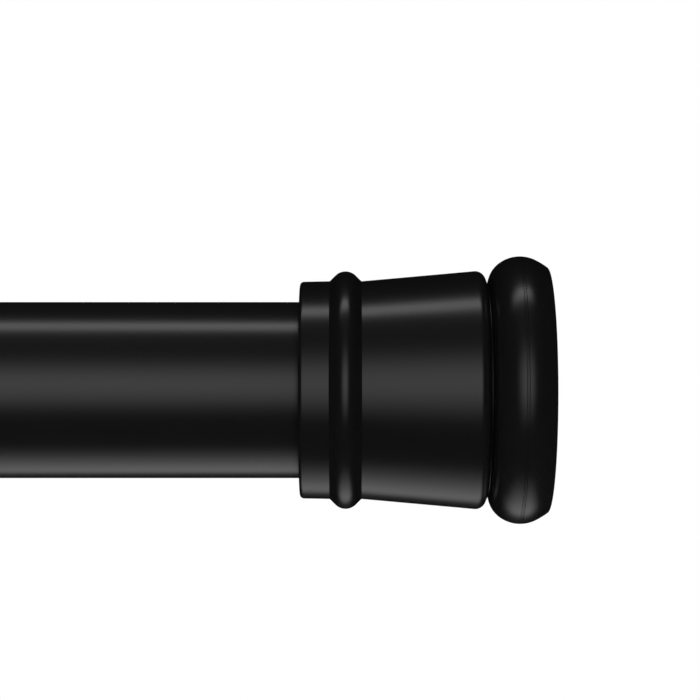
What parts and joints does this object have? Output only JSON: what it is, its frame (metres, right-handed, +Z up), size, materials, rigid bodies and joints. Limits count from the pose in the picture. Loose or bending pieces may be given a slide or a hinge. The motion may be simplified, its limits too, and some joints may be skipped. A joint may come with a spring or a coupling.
{
  "type": "tension shower curtain rod",
  "caption": "Telescoping tension rod for a shower curtain, with flared end covers, rubber wall feet and a twist lock inside the tubes.",
  "frame": {"origin": "middle of the fixed foot's wall face", "axes": "+X out of the fixed foot's wall face along the rod, +Z up"},
  "size_m": [1.1176, 0.0386, 0.0386],
  "materials": {
    "black_powder_coat": "satin",
    "black_moulded_cover": "satin",
    "black_rubber": "satin",
    "grey_foot_core": "matte",
    "natural_nylon": "satin",
    "black_acetal": "satin",
    "zinc_plated_steel": "satin",
    "spring_steel": "satin",
    "drag_rubber": "matte"
  },
  "bodies": {
    "fixed_tube": {"outer_tube": "black_powder_coat", "mouth_bushing": "black_moulded_cover", "fixed_end_plug": "natural_nylon", "fixed_end_cover": "black_moulded_cover", "fixed_foot_core": "grey_foot_core", "fixed_foot_bumper": "black_rubber", "fixed_foot_screw": "zinc_plated_steel", "fixed_head_washer": "zinc_plated_steel"},
    "far_foot": {"swivel_foot_bumper": "black_rubber", "swivel_foot_core": "grey_foot_core"},
    "turning_tube": {"inner_tube": "black_powder_coat", "swivel_end_plug": "natural_nylon", "swivel_end_cover": "black_moulded_cover", "swivel_foot_screw": "zinc_plated_steel", "swivel_head_washer": "zinc_plated_steel", "swivel_thrust_washer": "natural_nylon", "drive_plug": "black_acetal", "drive_nut": "zinc_plated_steel", "spring_seat_drive": "zinc_plated_steel"},
    "screw_lock": {"threaded_spindle": "zinc_plated_steel", "spindle_lock_nut": "zinc_plated_steel", "collet_washer": "zinc_plated_steel", "lock_collet": "natural_nylon", "drag_ring": "drag_rubber", "wedge_cone": "black_acetal", "wedge_pin": "zinc_plated_steel", "spring_seat_wedge": "zinc_plated_steel", "lock_spring": "spring_steel", "spindle_stop_collar": "zinc_plated_steel"}
  },
  "joints": [
    {"name": "rod_length", "type": "slide", "parent": "fixed_tube", "child": "far_foot", "axis": [-1, 0, 0], "range_m": [0, 0.7112]},
    {"name": "tube_twist", "type": "hinge", "parent": "far_foot", "child": "turning_tube", "pos_m": [-1.1176, 0, 0], "axis": [-1, 0, 0], "range_deg": [0, 2880]},
    {"name": "spindle_feed", "type": "slide", "parent": "far_foot", "child": "screw_lock", "axis": [1, 0, 0], "range_m": [0, 0.024], "deforming": ["lock_spring"]}
  ],
  "couplings": [
    {"joint": "spindle_feed", "follows": "tube_twist", "m_per_rad": 0.00047746}
  ]
}
